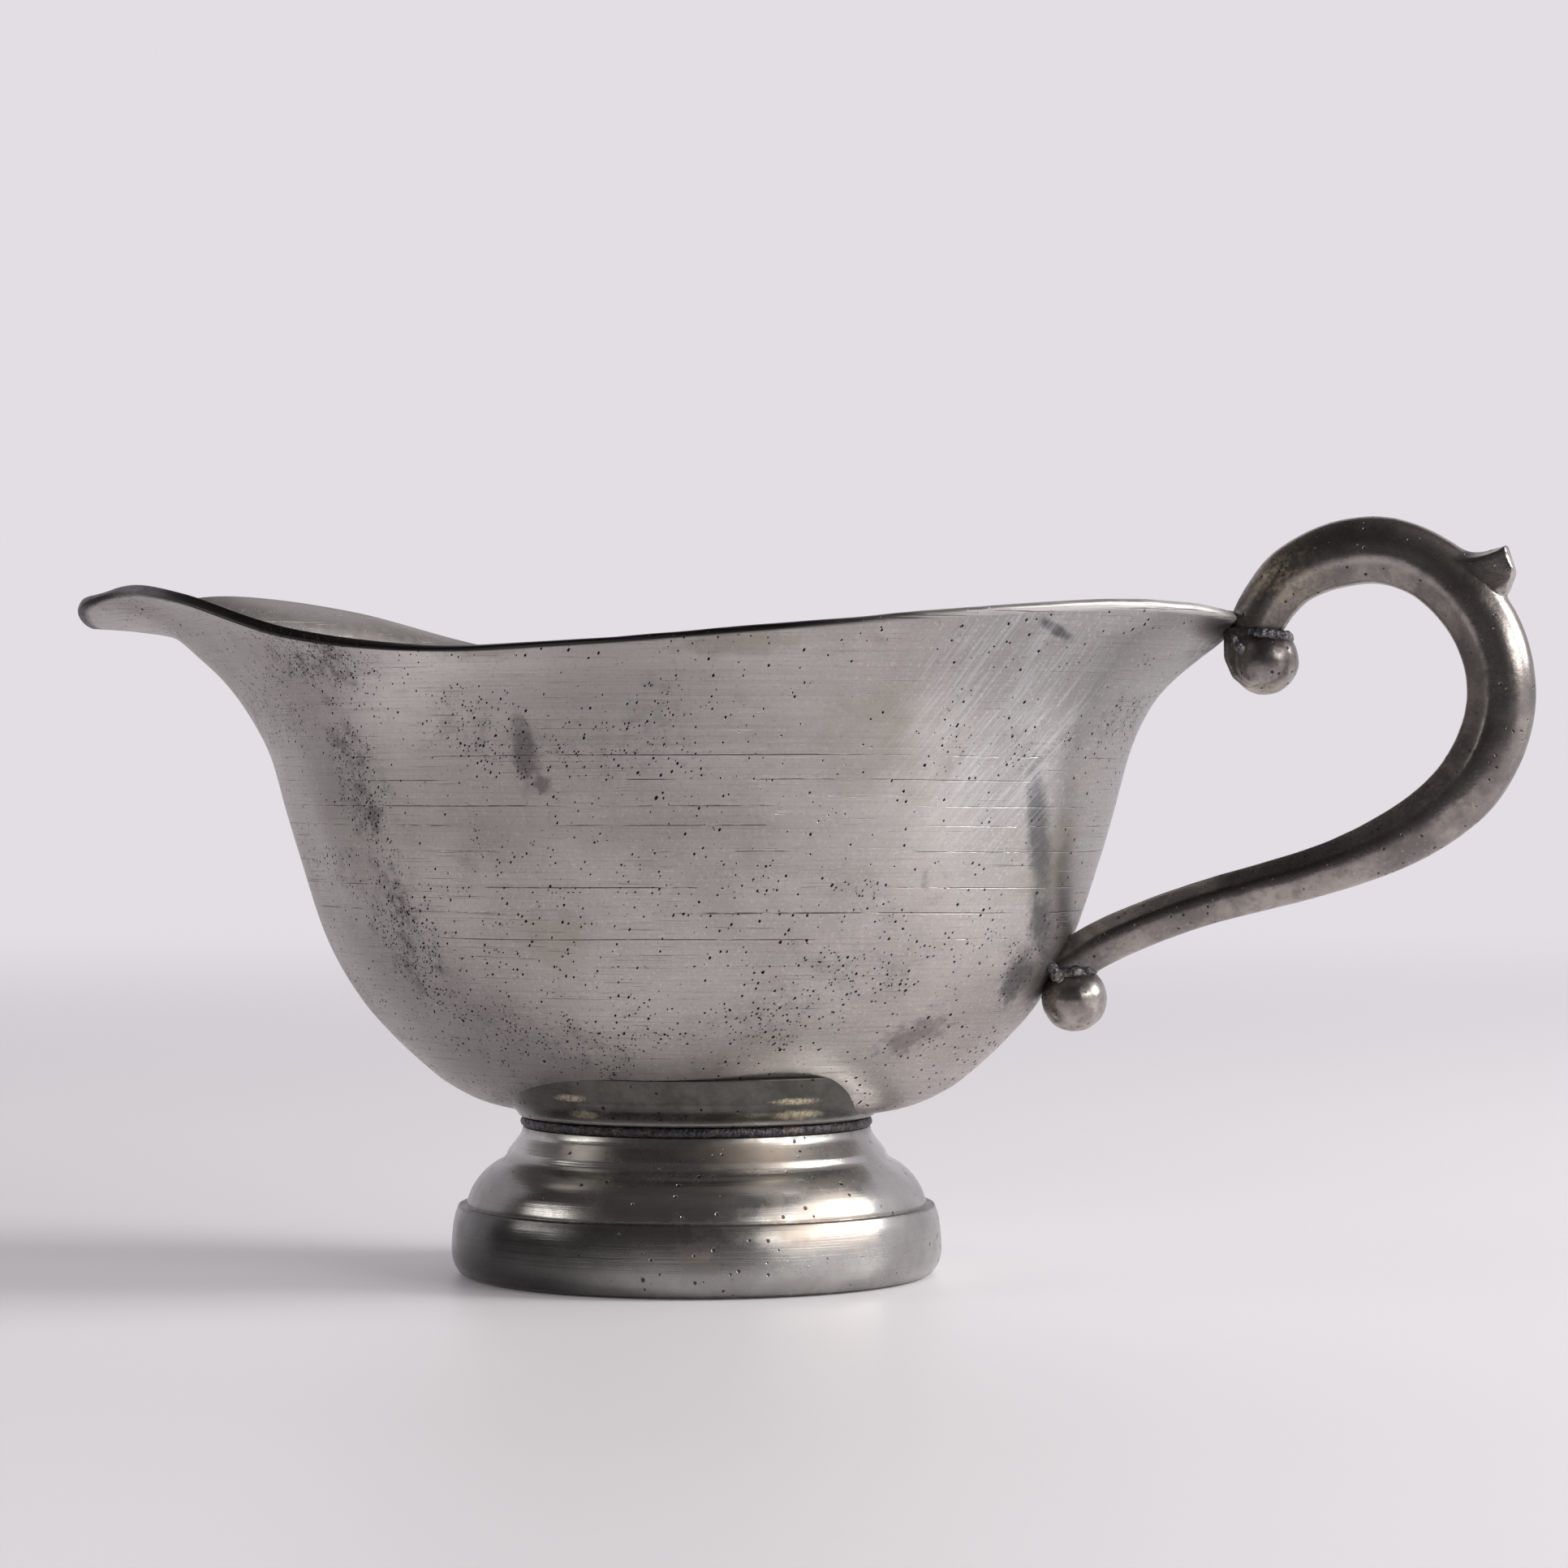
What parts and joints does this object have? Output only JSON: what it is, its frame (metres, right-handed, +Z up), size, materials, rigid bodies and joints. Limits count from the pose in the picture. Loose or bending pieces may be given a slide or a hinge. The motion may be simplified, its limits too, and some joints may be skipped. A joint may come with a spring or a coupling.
{
  "type": "sauce boat",
  "caption": "Oval pewter sauce boat with a pouring lip, a scrolled handle soldered to the back and a round moulded foot.",
  "frame": {"origin": "on the table, under the middle of the whole boat's bounding box; the foot's axis stands 12.1 mm towards the lip from it", "axes": "+Z up; +X towards the handle, with the pouring lip at -X; Y = 0 is the plane of symmetry"},
  "size_m": [0.202, 0.093, 0.1016],
  "materials": {
    "spun_pewter": "satin with spin lines, pits and old tarnish",
    "turned_pewter": "semi-bright, burnished on the mouldings",
    "cast_pewter": "dark semi-bright casting with file marks",
    "solder": "dull grainy soft solder"
  },
  "bodies": {
    "root": {"bowl": "spun_pewter", "foot": "turned_pewter", "collar": "turned_pewter", "handle": "cast_pewter", "upper_ball": "cast_pewter", "lower_ball": "cast_pewter", "foot_solder": "solder", "collar_solder": "solder", "upper_handle_solder": "solder", "lower_handle_solder": "solder", "upper_ball_solder": "solder", "lower_ball_solder": "solder"}
  },
  "joints": []
}
